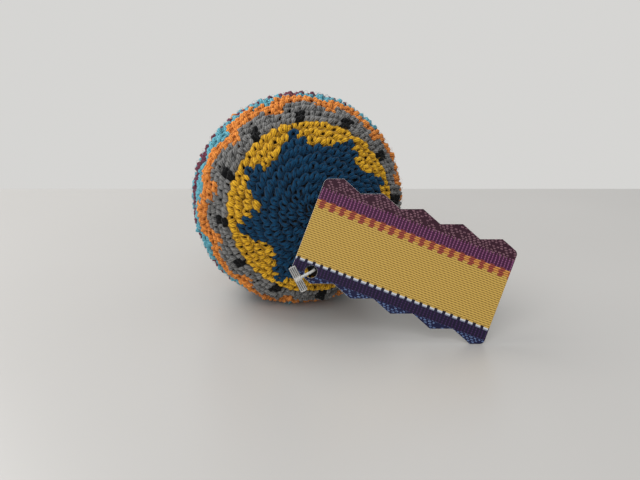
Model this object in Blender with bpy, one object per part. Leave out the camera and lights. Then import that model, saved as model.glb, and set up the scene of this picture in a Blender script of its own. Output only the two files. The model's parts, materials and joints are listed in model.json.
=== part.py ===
"""A crocheted footbag lying on a table, with its card hang tag still pinned to it.

The cover is worked in rounds from the front pole to the back pole, in seven yarns after a chart.
Every yarn's worked area is a piece of its own: a shell of stitches, each a low cushion, whose
edges step from stitch to stitch. Inside lies the pellet filling. A moulded plastic pin holds the
tag: its cross bar lies behind the cover, its filament passes out through the stitches and the
tag's hole, and its ribbed paddle keeps the tag on. The pin swings on its cross bar, and the tag
turns on the filament.

Lengths are in metres and angles in radians. +Z is up, and the bag's front pole looks towards -Y.
The origin lies on the table, under the lowest point of the bag's widest round.
"""

import math

import bmesh
import bpy
import numpy as np
from mathutils import Matrix, Vector

MM = 0.001
DEGREE = math.radians(1)

# Bag, measured over the stitch tops
BAG_RADIUS = 28.5 * MM
BAG_HALF_DEPTH = 26.0 * MM
BAG_SQUARENESS = 2.3
BAG_TILT = 4.0 * DEGREE
REST_PRESS = 1.5 * MM
COVER_WALL = 2.6 * MM
STITCH_RISE = 0.5 * MM
YARN_GAP = 0.3 * MM
INSIDE_EDGE_ANGLE = 40.0 * DEGREE

# Rounds and stitches of the cover, counted from a pole; the cap widens in two steps
ROUND_COUNT = 40
CAP_ROUND_COUNT = 10
FIRST_ROUND_COUNT = 2
SECOND_ROUND_COUNT = 6
FIRST_STITCH_COUNT = 12
SECOND_STITCH_COUNT = 24
CAP_STITCH_COUNT = 48
BAND_STITCH_COUNT = 59
CAP_START = 0.5 * DEGREE
BAND_START = -0.6 * DEGREE

# Chart of the cap: the stitches, counted round it, where the star has its tips, and the star's rounds
STAR_TIP_COUNTS = (2, 7, 13, 19, 25, 32, 38, 44)
STAR_ROUND_COUNT = 9

# Chart of the band, one line for each round from the cap's edge to the bag's widest round
BAND_CHART = (
    "bgggg",
    "bgggg",
    "ggogg",
    "ggoog",
    "ooooo",
    "ootoo",
    "ootto",
    "ttttt",
    "mtttt",
    "mmmmm",
)

# Pellet filling
FILL_GAP = 0.5 * MM
FILL_SIDES = 20
FILL_RINGS = 12

# Knot that closes the last round
YARN_THICKNESS = 1.1 * MM
KNOT_WIDTH = 5.4 * MM
KNOT_HEIGHT = 3.0 * MM
KNOT_POINT_COUNT = 36

# Hang tag, a flat card with teeth along both long edges
TAG_LENGTH = 48.6 * MM
TAG_HEIGHT = 22.1 * MM
TAG_THICKNESS = 0.5 * MM
TOOTH_PITCH = 10.0 * MM
TOOTH_HEIGHT = 1.9 * MM
UPPER_FIRST_TOOTH = 4.1 * MM
LOWER_FIRST_TOOTH = 5.5 * MM
TAG_CORNER_RADIUS = 0.8 * MM
TAG_CORNER_SEGMENTS = 3
HOLE_RADIUS = 1.5 * MM
HOLE_FROM_END = 4.6 * MM
HOLE_FROM_LOWER_EDGE = 0.8 * MM
HOLE_SIDES = 24

# How the tag stands: turned and leaning back against the bag, with the last tooth on the table
TAG_TURN = 11.2 * DEGREE
TAG_LEAN = 16.0 * DEGREE
TAG_CLEARANCE = 1.0 * MM
FILAMENT_SIDEWAYS = 4.7 * MM

# Tag pin, one moulding
PIN_CLEARANCE = 0.3 * MM
FILAMENT_RADIUS = 0.4 * MM
FILAMENT_SIDES = 8
CROSS_BAR_RADIUS = 0.5 * MM
CROSS_BAR_LENGTH = 6.5 * MM
CROSS_BAR_SIDES = 12
PIN_SWING = 30.0 * DEGREE
PLACE_SEARCH_STEPS = 40
FILAMENT_STANDOFF = 1.9 * MM
FILAMENT_BEND_RADIUS = 1.3 * MM
FILAMENT_BEND_STEPS = 6
PADDLE_REACH = 3.3 * MM
PADDLE_LENGTH = 6.4 * MM
PADDLE_WIDTH = 1.8 * MM
PADDLE_THICKNESS = 0.9 * MM
PADDLE_RIB_COUNT = 4
PADDLE_GROOVE = 0.25 * MM
PADDLE_DIRECTION = 229.0 * DEGREE

# One overrun serves every cut
OVERRUN = 1.0 * MM


def clear_scene():
    for old in list(bpy.data.objects):
        bpy.data.objects.remove(old, do_unlink=True)


def material(name, color, roughness, metallic=0.0, alpha=1.0):
    """A plain finish: colour, roughness and metallic value."""
    finish = bpy.data.materials.new(name)
    finish.use_nodes = True
    shader = finish.node_tree.nodes["Principled BSDF"]
    shader.inputs["Base Color"].default_value = (*color, 1.0)
    shader.inputs["Roughness"].default_value = roughness
    shader.inputs["Metallic"].default_value = metallic
    shader.inputs["Alpha"].default_value = alpha
    finish.diffuse_color = (*color, alpha)
    return finish


def place_object(name, data, finish, frame=None):
    """Link a new object; its mesh is given in world coordinates and kept in the frame's own."""
    piece = bpy.data.objects.new(name, data)
    bpy.context.scene.collection.objects.link(piece)
    if frame is not None:
        data.transform(frame.inverted())
        piece.matrix_world = frame
    if finish is not None:
        data.materials.append(finish)
    return piece


def cutter(name, mesh):
    """A hidden solid that only shapes another."""
    tool = place_object(name, mesh, None)
    tool.hide_render = True
    tool.display_type = "WIRE"
    return tool


def combine(piece, tool, operation):
    step = piece.modifiers.new(tool.name, "BOOLEAN")
    step.operation = operation
    step.solver = "EXACT"
    step.object = tool


def finish_mesh(name, shape, smooth_angle=None):
    """Turn a bmesh into a mesh with its faces pointing out."""
    bmesh.ops.recalc_face_normals(shape, faces=shape.faces)
    mesh = bpy.data.meshes.new(name)
    shape.to_mesh(mesh)
    shape.free()
    if smooth_angle is not None:
        mesh.shade_smooth()
        mesh.set_sharp_from_angle(angle=smooth_angle)
    return mesh


# Profile of the bag


def profile_table(samples=6000):
    """Half a superellipse from front pole to back pole, as radius, height and length run."""
    sweep = np.linspace(0.0, math.pi, samples)
    share = 2.0 / BAG_SQUARENESS
    radius = BAG_RADIUS * np.sin(sweep).clip(0.0) ** share
    along = BAG_HALF_DEPTH * np.sign(np.cos(sweep)) * np.abs(np.cos(sweep)) ** share
    run = np.concatenate(([0.0], np.cumsum(np.hypot(np.diff(radius), np.diff(along)))))
    return radius, along, run


PROFILE_RADIUS, PROFILE_ALONG, PROFILE_RUN = profile_table()
ROUND_PITCH = PROFILE_RUN[-1] / ROUND_COUNT


def profile_at(rounds):
    """Radius, height towards the front, and outward normal, some rounds from the front pole."""
    run = rounds * ROUND_PITCH
    radius = float(np.interp(run, PROFILE_RUN, PROFILE_RADIUS))
    along = float(np.interp(run, PROFILE_RUN, PROFILE_ALONG))
    power = BAG_SQUARENESS - 1.0
    outward = (radius / BAG_RADIUS) ** power / BAG_RADIUS
    forward = math.copysign((abs(along) / BAG_HALF_DEPTH) ** power / BAG_HALF_DEPTH, along)
    size = math.hypot(outward, forward)
    return radius, along, outward / size, forward / size


def bag_reach(direction):
    """How far the bag reaches from its centre along a unit direction in the bag's own frame."""
    dual = BAG_SQUARENESS / (BAG_SQUARENESS - 1.0)
    across = BAG_RADIUS * math.hypot(direction.x, direction.z)
    along = BAG_HALF_DEPTH * abs(direction.y)
    return (across ** dual + along ** dual) ** (1.0 / dual)


TILT = Matrix.Rotation(-BAG_TILT, 3, "X")
BAG_CENTRE_HEIGHT = bag_reach(TILT.inverted() @ Vector((0.0, 0.0, -1.0))) - REST_PRESS
BAG_CENTRE = Vector((0.0, BAG_RADIUS * math.sin(BAG_TILT), BAG_CENTRE_HEIGHT))


def bag_point(rounds, turn, sink):
    """A point of the cover, sunk below the stitch tops; the underside is pressed flat."""
    radius, along, outward, forward = profile_at(rounds)
    radius = radius - outward * sink
    along = along - forward * sink
    local = Vector((radius * math.cos(turn), -along, radius * math.sin(turn)))
    point = TILT @ local + BAG_CENTRE
    floor = sink if sink > STITCH_RISE else 0.0
    point.z = max(point.z, floor)
    return point


def bag_depth(point, sink):
    """Below one inside the bag's surface sunk by that much, above one outside it."""
    local = TILT.inverted() @ (point - BAG_CENTRE)
    across = math.hypot(local.x, local.z) / (BAG_RADIUS - sink)
    along = abs(local.y) / (BAG_HALF_DEPTH - sink)
    return across ** BAG_SQUARENESS + along ** BAG_SQUARENESS


# Chart of the cover


def stitches_in_round(round_number):
    """Stitches modelled in a round: fewer near the poles, where the real ones are few too."""
    from_pole = min(round_number, ROUND_COUNT + 1 - round_number)
    if from_pole > CAP_ROUND_COUNT:
        return BAND_STITCH_COUNT
    if from_pole > SECOND_ROUND_COUNT:
        return CAP_STITCH_COUNT
    if from_pole > FIRST_ROUND_COUNT:
        return SECOND_STITCH_COUNT
    return FIRST_STITCH_COUNT


def cap_yarn(from_pole, stitch):
    """The star of the cap: it narrows by a stitch each side in every round up to its tips."""
    column = (stitch + 0.5) * CAP_STITCH_COUNT / stitches_in_round(from_pole) - 0.5
    gaps = [abs(column - tip) for tip in STAR_TIP_COUNTS]
    nearest = min(min(gap, CAP_STITCH_COUNT - gap) for gap in gaps)
    inside = from_pole < STAR_ROUND_COUNT - 2 or nearest <= STAR_ROUND_COUNT - from_pole
    return "navy" if inside else "gold"


BAND_YARNS = {"b": "black", "g": "grey", "o": "orange", "t": "turquoise", "m": "maroon"}


def yarn_of(round_number, stitch):
    """The yarn of a stitch; a round closes on a short repeat that keeps only its last stitch."""
    from_pole = min(round_number, ROUND_COUNT + 1 - round_number)
    if from_pole <= CAP_ROUND_COUNT:
        return cap_yarn(from_pole, stitch)
    row = BAND_CHART[from_pole - CAP_ROUND_COUNT - 1]
    closing = stitch == BAND_STITCH_COUNT - 1
    return BAND_YARNS[row[-1] if closing else row[stitch % len(row)]]


def zone_of(round_number):
    """Front cap, band or back cap, as the first and last round; each has its own stitch grid."""
    if round_number <= CAP_ROUND_COUNT:
        return 1, CAP_ROUND_COUNT
    if round_number > ROUND_COUNT - CAP_ROUND_COUNT:
        return ROUND_COUNT - CAP_ROUND_COUNT + 1, ROUND_COUNT
    return CAP_ROUND_COUNT + 1, ROUND_COUNT - CAP_ROUND_COUNT


def cells_of(yarn, first_round, last_round):
    """Every stitch of one yarn between two rounds."""
    cells = set()
    for round_number in range(first_round, last_round + 1):
        for stitch in range(stitches_in_round(round_number)):
            if yarn_of(round_number, stitch) == yarn:
                cells.add((round_number, stitch))
    return cells


def ring_count(ring, zone):
    """Points on the ring between two rounds of a zone; a pole is one point."""
    if ring in (0, ROUND_COUNT):
        return 1
    counts = [stitches_in_round(n) for n in (ring, ring + 1) if zone[0] <= n <= zone[1]]
    return max(counts)


def cell_corners(round_number, stitch, zone):
    """Corners of a stitch as ring and point numbers, anticlockwise seen from outside."""
    stitches = stitches_in_round(round_number)
    corners = []
    for ring, order in ((round_number, 1), (round_number - 1, -1)):
        points = ring_count(ring, zone)
        if points == 1:
            corners.append((ring, 0))
            continue
        per_stitch = points // stitches
        row = [(ring, (stitch * per_stitch + step) % points) for step in range(per_stitch + 1)]
        corners.extend(row[::order])
    return corners


def edge_shift(ring, number, cells, zone):
    """Which way a grid point moves off the neighbouring yarn: along the rounds, and along the turn."""
    points = ring_count(ring, zone)
    if points == 1:
        return 0, 0
    sides = {}
    for along in (0, 1):
        round_number = ring + along
        for across in (-1, 1):
            if not zone[0] <= round_number <= zone[1]:
                sides[along, across] = False
                continue
            stitches = stitches_in_round(round_number)
            place = (number + 0.25 * across) / points * stitches
            sides[along, across] = (round_number, int(place % stitches)) in cells
    later = sides[1, -1] + sides[1, 1] - sides[0, -1] - sides[0, 1]
    right = sides[0, 1] + sides[1, 1] - sides[0, -1] - sides[1, -1]
    return (later > 0) - (later < 0), (right > 0) - (right < 0)


def plain_inside(shape, grid):
    """Join the stitches of the hidden inner face in blocks of two rounds by two stitches."""
    places = {point: key for key, point in grid.items() if key[3] == COVER_WALL}
    spare = []
    for edge in shape.edges:
        keys = [places.get(point) for point in edge.verts]
        if None in keys or edge.calc_face_angle(math.pi) > INSIDE_EDGE_ANGLE:
            continue
        line = keys[0][0]
        if keys[0][0] != keys[1][0]:
            ring, number, zone, _ = max(keys, key=lambda place: ring_count(place[0], place[2]))
            stitches = stitches_in_round(max(keys[0][0], keys[1][0]))
            line = number * stitches // ring_count(ring, zone)
        if line % 2:
            spare.append(edge)
    bmesh.ops.dissolve_edges(shape, edges=spare, use_verts=True)


def worked_yarn(name, cells, finish):
    """One yarn's area of the cover: a cushion for each stitch, a plain inside, stepped edges."""
    shape = bmesh.new()
    grid = {}
    half_gap = 0.5 * YARN_GAP

    def grid_point(ring, number, zone, sink):
        key = (ring, number, zone, sink)
        if key not in grid:
            later, right = edge_shift(ring, number, cells, zone)
            radius = max(profile_at(ring)[0], half_gap)
            start = BAND_START if zone[0] == CAP_ROUND_COUNT + 1 else CAP_START
            turn = start + math.tau * number / ring_count(ring, zone) + right * half_gap / radius
            rounds = ring + later * half_gap / ROUND_PITCH
            grid[key] = shape.verts.new(bag_point(rounds, turn, sink))
        return grid[key]

    borders = {}
    for round_number, stitch in sorted(cells):
        zone = zone_of(round_number)
        corners = cell_corners(round_number, stitch, zone)
        outer = [grid_point(ring, number, zone, STITCH_RISE) for ring, number in corners]
        inner = [grid_point(ring, number, zone, COVER_WALL) for ring, number in corners]
        start = BAND_START if zone[0] == CAP_ROUND_COUNT + 1 else CAP_START
        middle = start + math.tau * (stitch + 0.5) / stitches_in_round(round_number)
        top = shape.verts.new(bag_point(round_number - 0.5, middle, 0.0))
        for place in range(len(corners)):
            follow = (place + 1) % len(corners)
            shape.faces.new((outer[place], outer[follow], top))
            edge = (outer[place], outer[follow])
            if edge[::-1] in borders:
                del borders[edge[::-1]]
            else:
                borders[edge] = (inner[place], inner[follow])
        shape.faces.new(inner[::-1])
    for (first, second), (first_inner, second_inner) in borders.items():
        shape.faces.new((second, first, first_inner, second_inner))
    plain_inside(shape, grid)
    return place_object(name, finish_mesh(name, shape), finish)


# Filling and closing knot


def pellet_fill(finish):
    """The pellets as one body that fills the cover."""
    sink = COVER_WALL + FILL_GAP
    shape = bmesh.new()
    rings = []
    for step in range(1, FILL_RINGS):
        rounds = ROUND_COUNT * step / FILL_RINGS
        turns = [math.tau * side / FILL_SIDES for side in range(FILL_SIDES)]
        rings.append([shape.verts.new(bag_point(rounds, turn, sink)) for turn in turns])
    front = shape.verts.new(bag_point(0.0, 0.0, sink))
    back = shape.verts.new(bag_point(ROUND_COUNT, 0.0, sink))
    for side in range(FILL_SIDES):
        follow = (side + 1) % FILL_SIDES
        shape.faces.new((front, rings[0][side], rings[0][follow]))
        shape.faces.new((back, rings[-1][follow], rings[-1][side]))
        for near, far in zip(rings, rings[1:]):
            shape.faces.new((near[side], far[side], far[follow], near[follow]))
    return place_object("pellet_fill", finish_mesh("pellet_fill", shape, 30 * DEGREE), finish)


def closing_knot(finish):
    """The yarn's end, knotted flat over the back pole: three lobes that pass over and under."""
    across = (KNOT_WIDTH - YARN_THICKNESS) / 6.0
    rise = (KNOT_HEIGHT - YARN_THICKNESS) / 2.0
    pole = TILT @ Vector((0.0, BAG_HALF_DEPTH, 0.0)) + BAG_CENTRE
    out = TILT @ Vector((0.0, 1.0, 0.0))
    side = Vector((1.0, 0.0, 0.0))
    up = out.cross(side)
    seat = pole + out * (YARN_GAP + 0.5 * KNOT_HEIGHT)
    curve = bpy.data.curves.new("closing_knot", "CURVE")
    curve.dimensions = "3D"
    curve.bevel_depth = 0.5 * YARN_THICKNESS
    curve.bevel_resolution = 1
    curve.use_fill_caps = True
    strand = curve.splines.new("POLY")
    strand.points.add(KNOT_POINT_COUNT - 1)
    strand.use_cyclic_u = True
    for step, point in enumerate(strand.points):
        sweep = math.tau * step / KNOT_POINT_COUNT
        right = across * (math.sin(sweep) + 2.0 * math.sin(2.0 * sweep))
        high = across * (math.cos(sweep) - 2.0 * math.cos(2.0 * sweep))
        place = seat + side * right + up * high - out * rise * math.sin(3.0 * sweep)
        point.co = (*place, 1.0)
    return place_object("closing_knot", curve, finish)


# Frame of the tag: u along the card, v up the card, w out of its face


def tag_axes():
    level = Vector((math.cos(TAG_TURN), -math.sin(TAG_TURN), 0.0))
    front = Vector((-math.sin(TAG_TURN), -math.cos(TAG_TURN), 0.0))
    rise = Vector((0.0, 0.0, 1.0))
    out = front * math.cos(TAG_LEAN) + rise * math.sin(TAG_LEAN)
    up = rise * math.cos(TAG_LEAN) - front * math.sin(TAG_LEAN)
    slant = math.atan2(TOOTH_HEIGHT, 0.5 * TOOTH_PITCH)
    along = level * math.cos(slant) - up * math.sin(slant)
    over = level * math.sin(slant) + up * math.cos(slant)
    return level, along, over, out


LEVEL, TAG_ALONG, TAG_OVER, TAG_OUT = tag_axes()


def zigzag(first_tooth):
    """Turning points of a toothed edge from end to end, with their heights."""
    half = 0.5 * TOOTH_PITCH
    first = -math.floor(first_tooth / half)
    places = [0.0]
    while first_tooth + first * half < TAG_LENGTH:
        if first_tooth + first * half > 0.0:
            places.append(first_tooth + first * half)
        first += 1
    places.append(TAG_LENGTH)
    heights = []
    for place in places:
        phase = (place - first_tooth) / half
        heights.append(TOOTH_HEIGHT * (1.0 - abs((phase + 1.0) % 2.0 - 1.0)))
    return list(zip(places, heights))


def tag_outline():
    """The card's edge, clockwise from its upper left corner, measured from the filament's axis."""
    shift = HOLE_RADIUS - FILAMENT_RADIUS - PIN_CLEARANCE
    axis_u = HOLE_FROM_END - shift * math.cos(PADDLE_DIRECTION)
    hole_v = HOLE_FROM_LOWER_EDGE - TAG_HEIGHT
    axis_v = hole_v - shift * math.sin(PADDLE_DIRECTION)
    upper = [(u - axis_u, v - axis_v) for u, v in zigzag(UPPER_FIRST_TOOTH)]
    lower = [(u - axis_u, -TAG_HEIGHT - v - axis_v) for u, v in zigzag(LOWER_FIRST_TOOTH)]
    hole = (HOLE_FROM_END - axis_u, hole_v - axis_v)
    return upper, lower, hole


def tag_place():
    """The point of the filament's axis in the middle of the card, with the card at rest."""
    upper, lower, hole = tag_outline()
    out_half = 0.5 * TAG_THICKNESS
    lowest = min(u * TAG_ALONG.z + v * TAG_OVER.z for u, v in upper + lower)
    height = out_half * TAG_OUT.z - lowest
    distance = bag_reach(TILT.inverted() @ TAG_OUT) + TAG_CLEARANCE + out_half
    forward = Vector((TAG_OUT.x, TAG_OUT.y, 0.0)).normalized()
    rest = distance - (height - BAG_CENTRE.z) * TAG_OUT.z
    below_centre = Vector((BAG_CENTRE.x, BAG_CENTRE.y, height))
    return below_centre + LEVEL * FILAMENT_SIDEWAYS + forward * (rest / math.cos(TAG_LEAN))


TAG_AXIS_POINT = tag_place()


def tag_frame():
    frame = Matrix((TAG_ALONG, TAG_OVER, TAG_OUT)).transposed().to_4x4()
    frame.translation = TAG_AXIS_POINT
    return frame


def in_tag(u, v, w):
    return TAG_AXIS_POINT + TAG_ALONG * u + TAG_OVER * v + TAG_OUT * w


def prism(name, outline, low, high, place):
    """A flat outline carried from one height to another."""
    shape = bmesh.new()
    bottom = [shape.verts.new(place(u, v, low)) for u, v in outline]
    face = shape.faces.new(bottom)
    carried = bmesh.ops.extrude_face_region(shape, geom=[face])
    raised = [item for item in carried["geom"] if isinstance(item, bmesh.types.BMVert)]
    lift = place(0.0, 0.0, high) - place(0.0, 0.0, low)
    bmesh.ops.translate(shape, verts=raised, vec=lift)
    return shape


def circle(radius, sides, centre=(0.0, 0.0)):
    turns = [math.tau * side / sides for side in range(sides)]
    return [(centre[0] + radius * math.cos(t), centre[1] + radius * math.sin(t)) for t in turns]


def hang_tag(finish):
    """The card: toothed outline, four eased corners and the punched hole."""
    upper, lower, hole = tag_outline()
    half = 0.5 * TAG_THICKNESS
    shape = prism("hang_tag", upper + lower[::-1], -half, half, in_tag)
    corners = (upper[0], upper[-1], lower[0], lower[-1])
    upright = []
    for edge in shape.edges:
        middle = 0.5 * (edge.verts[0].co + edge.verts[1].co)
        length = (edge.verts[0].co - edge.verts[1].co).length
        near = min((middle - in_tag(u, v, 0.0)).length for u, v in corners)
        if near < half and length < 2.0 * TAG_THICKNESS:
            upright.append(edge)
    bmesh.ops.bevel(shape, geom=upright, offset=TAG_CORNER_RADIUS, segments=TAG_CORNER_SEGMENTS,
                    profile=0.5, affect="EDGES")
    card = place_object("hang_tag", finish_mesh("hang_tag", shape), finish, tag_frame())
    punch = prism("tag_hole_cutter", circle(HOLE_RADIUS, HOLE_SIDES, hole),
                  -half - OVERRUN, half + OVERRUN, in_tag)
    combine(card, cutter("tag_hole_cutter", finish_mesh("tag_hole_cutter", punch)), "DIFFERENCE")
    return card


# Tag pin


def cross_bar_place():
    """Where the cross bar's axis lies: behind the tag's hole, both ends just clear of the cover."""
    facet_sag = ROUND_PITCH ** 2 / (2.0 * BAG_HALF_DEPTH)
    sink = COVER_WALL + PIN_CLEARANCE + CROSS_BAR_RADIUS + facet_sag
    end = LEVEL * 0.5 * CROSS_BAR_LENGTH
    near, far = 0.0, BAG_HALF_DEPTH + TAG_CLEARANCE
    for _ in range(PLACE_SEARCH_STEPS):
        middle = 0.5 * (near + far)
        axis = in_tag(0.0, 0.0, -middle)
        if max(bag_depth(axis - end, sink), bag_depth(axis + end, sink)) > 1.0:
            near = middle
        else:
            far = middle
    return far


CROSS_BAR_BACK = cross_bar_place()


def in_swing(side, angle, distance):
    """A point beside the pin's swing: along the cross bar, swung down from rest, and out from it."""
    swung = Matrix.Rotation(angle, 3, LEVEL) @ TAG_OUT
    return in_tag(0.0, 0.0, -CROSS_BAR_BACK) + LEVEL * side + swung * distance


def tube_mesh(name, points, radius, sides):
    """A round strand through the points, with closed ends."""
    curve = bpy.data.curves.new(name, "CURVE")
    curve.dimensions = "3D"
    curve.bevel_depth = radius
    curve.bevel_resolution = sides // 2 - 2
    curve.use_fill_caps = True
    strand = curve.splines.new("POLY")
    strand.points.add(len(points) - 1)
    for target, place in zip(strand.points, points):
        target.co = (*place, 1.0)
    guide = bpy.data.objects.new(name, curve)
    bpy.context.scene.collection.objects.link(guide)
    shaped = guide.evaluated_get(bpy.context.evaluated_depsgraph_get())
    mesh = bpy.data.meshes.new_from_object(shaped)
    bpy.data.objects.remove(guide)
    bpy.data.curves.remove(curve)
    shape = bmesh.new()
    shape.from_mesh(mesh)
    bmesh.ops.remove_doubles(shape, verts=shape.verts, dist=0.01 * radius)
    bpy.data.meshes.remove(mesh)
    return finish_mesh(name, shape, 40 * DEGREE)


def filament_route():
    """From the cross bar straight out through the hole, then over to the paddle."""
    toward = Vector((math.cos(PADDLE_DIRECTION), math.sin(PADDLE_DIRECTION)))
    top = 0.5 * TAG_THICKNESS + FILAMENT_STANDOFF
    points = [in_tag(0.0, 0.0, -CROSS_BAR_BACK), in_tag(0.0, 0.0, top - FILAMENT_BEND_RADIUS)]
    for step in range(1, FILAMENT_BEND_STEPS + 1):
        sweep = 0.5 * math.pi * step / FILAMENT_BEND_STEPS
        side = FILAMENT_BEND_RADIUS * (1.0 - math.cos(sweep))
        rise = top - FILAMENT_BEND_RADIUS * (1.0 - math.sin(sweep))
        points.append(in_tag(toward.x * side, toward.y * side, rise))
    points.append(in_tag(toward.x * PADDLE_REACH, toward.y * PADDLE_REACH, top))
    return points


def paddle_mesh():
    """The flat bar on the filament's end: ribbed faces, square to the filament."""
    toward = Vector((math.cos(PADDLE_DIRECTION), math.sin(PADDLE_DIRECTION)))
    across = Vector((-toward.y, toward.x))
    level = 0.5 * TAG_THICKNESS + FILAMENT_STANDOFF
    half_width, half_thick = 0.5 * PADDLE_WIDTH, 0.5 * PADDLE_THICKNESS
    rib = PADDLE_WIDTH / PADDLE_RIB_COUNT
    crest = [(-half_width, 0.0)]
    for number in range(PADDLE_RIB_COUNT):
        start = -half_width + number * rib
        crest.append((start + 0.25 * rib, half_thick))
        crest.append((start + 0.75 * rib, half_thick))
        if number < PADDLE_RIB_COUNT - 1:
            crest.append((start + rib, half_thick - PADDLE_GROOVE))
    crest.append((half_width, 0.0))
    section = crest + [(u, -w) for u, w in crest[-2:0:-1]]

    def place(u, w, length):
        run = PADDLE_REACH + half_width + u
        spot = toward * run + across * length
        return in_tag(spot.x, spot.y, level + w)

    shape = prism("tag_pin", section, -0.5 * PADDLE_LENGTH, 0.5 * PADDLE_LENGTH, place)
    return finish_mesh("tag_pin", shape)


def tag_pin(finish):
    """Paddle, filament and cross bar, moulded in one."""
    pivot = Matrix.Translation(in_tag(0.0, 0.0, -CROSS_BAR_BACK))
    pin = place_object("tag_pin", paddle_mesh(), finish, pivot)
    route = filament_route()
    toward = (route[-1] - route[-2]).normalized()
    route[-1] = route[-1] + toward * 0.5 * PADDLE_WIDTH
    strand = tube_mesh("filament_form", route, FILAMENT_RADIUS, FILAMENT_SIDES)
    ends = [in_swing(side * 0.5 * CROSS_BAR_LENGTH, 0.0, 0.0) for side in (-1.0, 1.0)]
    bar = tube_mesh("cross_bar_form", ends, CROSS_BAR_RADIUS, CROSS_BAR_SIDES)
    combine(pin, cutter("filament_form", strand), "UNION")
    combine(pin, cutter("cross_bar_form", bar), "UNION")
    return pin


def swing_room():
    """The space that the swinging filament needs through the cover, with its clearance."""
    half = FILAMENT_RADIUS + PIN_CLEARANCE
    pivot = in_swing(0.0, 0.0, 0.0)
    above = in_swing(0.0, -0.5 * math.pi, half) - pivot
    below = in_swing(0.0, PIN_SWING + 0.5 * math.pi, half) - pivot
    outline = [pivot + above]
    outline.append(in_swing(0.0, 0.0, CROSS_BAR_BACK) + above)
    outline.append(in_swing(0.0, 0.5 * PIN_SWING, CROSS_BAR_BACK))
    outline.append(in_swing(0.0, PIN_SWING, CROSS_BAR_BACK) + below)
    outline.append(pivot + below)
    outline.append(in_swing(0.0, 0.5 * PIN_SWING + math.pi, half))
    shape = bmesh.new()
    face = shape.faces.new([shape.verts.new(spot - LEVEL * half) for spot in outline])
    carried = bmesh.ops.extrude_face_region(shape, geom=[face])
    raised = [item for item in carried["geom"] if isinstance(item, bmesh.types.BMVert)]
    bmesh.ops.translate(shape, verts=raised, vec=LEVEL * 2.0 * half)
    return cutter("swing_cutter", finish_mesh("swing_cutter", shape))


def bar_room():
    """The space among the pellets in which the cross bar lies."""
    reach = 0.5 * CROSS_BAR_LENGTH + PIN_CLEARANCE
    ends = [in_swing(side * reach, 0.0, 0.0) for side in (-1.0, 1.0)]
    mesh = tube_mesh("cross_bar_cutter", ends, CROSS_BAR_RADIUS + PIN_CLEARANCE, CROSS_BAR_SIDES)
    return cutter("cross_bar_cutter", mesh)


def build_yarns():
    """The cover's yarns: cap yarns at each end, band yarns on each half, one yarn round the middle."""
    colors = {
        "navy": (0.012, 0.045, 0.115),
        "gold": (0.62, 0.36, 0.02),
        "grey": (0.13, 0.13, 0.14),
        "black": (0.008, 0.008, 0.01),
        "orange": (0.72, 0.22, 0.035),
        "turquoise": (0.07, 0.42, 0.56),
        "maroon": (0.13, 0.02, 0.04),
    }
    finishes = {yarn: material(yarn + "_yarn", color, 0.9) for yarn, color in colors.items()}
    half = ROUND_COUNT // 2
    pieces = {}
    for end, first, last in (("front", 1, half), ("back", half + 1, ROUND_COUNT)):
        for yarn in ("navy", "gold", "grey", "orange", "turquoise"):
            name = "_".join((yarn, "yarn", end))
            pieces[name] = worked_yarn(name, cells_of(yarn, first, last), finishes[yarn])
        black = cells_of("black", first, last)
        for number, stitch in enumerate(sorted({cell[1] for cell in black}), start=1):
            name = "black_yarn_%s_%02d" % (end, number)
            dot = {cell for cell in black if cell[1] == stitch}
            pieces[name] = worked_yarn(name, dot, finishes["black"])
    pieces["maroon_yarn_middle"] = worked_yarn("maroon_yarn_middle", cells_of("maroon", 1, ROUND_COUNT),
                                               finishes["maroon"])
    closing_knot(finishes["navy"])
    return pieces


def main():
    clear_scene()
    yarns = build_yarns()
    fill = pellet_fill(material("pellets", (0.55, 0.5, 0.42), 0.6))
    hang_tag(material("tag_card", (0.62, 0.42, 0.12), 0.75))
    tag_pin(material("clear_plastic", (0.85, 0.87, 0.88), 0.2, alpha=0.6))
    swing = swing_room()
    for name in ("navy_yarn_front", "gold_yarn_front", "grey_yarn_front"):
        combine(yarns[name], swing, "DIFFERENCE")
    combine(fill, bar_room(), "DIFFERENCE")
    combine(fill, swing, "DIFFERENCE")


main()
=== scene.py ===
"""Looks of a crocheted footbag and its hang tag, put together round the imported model.

Lengths are in metres. +Z is up, and the bag's front pole looks towards -Y.
"""
import json
import math

import bmesh
import bpy
import numpy as np
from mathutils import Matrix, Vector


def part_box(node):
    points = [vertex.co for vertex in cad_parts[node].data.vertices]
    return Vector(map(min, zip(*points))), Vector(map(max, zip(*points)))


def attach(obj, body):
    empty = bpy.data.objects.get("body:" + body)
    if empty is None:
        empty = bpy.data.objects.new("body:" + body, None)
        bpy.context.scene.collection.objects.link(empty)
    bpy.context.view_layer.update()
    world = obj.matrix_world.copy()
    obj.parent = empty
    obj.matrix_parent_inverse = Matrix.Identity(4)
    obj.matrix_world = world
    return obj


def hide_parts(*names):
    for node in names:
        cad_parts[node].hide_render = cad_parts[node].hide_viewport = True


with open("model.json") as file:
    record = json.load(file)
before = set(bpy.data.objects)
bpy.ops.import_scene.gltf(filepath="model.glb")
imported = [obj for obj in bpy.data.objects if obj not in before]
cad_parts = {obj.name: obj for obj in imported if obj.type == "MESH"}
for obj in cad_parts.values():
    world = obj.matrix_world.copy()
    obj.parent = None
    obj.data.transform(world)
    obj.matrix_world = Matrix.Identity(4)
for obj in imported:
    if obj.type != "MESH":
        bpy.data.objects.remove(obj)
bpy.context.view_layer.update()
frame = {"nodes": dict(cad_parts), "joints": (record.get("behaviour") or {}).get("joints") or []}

# Table, room light and camera
# The bag lies on a pale table with a faint gloss, which ends at a pale wall. Soft daylight comes
# from behind on the left, and the room in front throws a little of it back.
CAMERA_PLACE = (-0.03116, -0.18424, 0.06892)
CAMERA_PITCH = math.radians(-15.94)
CAMERA_YAW = math.radians(11.38)
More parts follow.
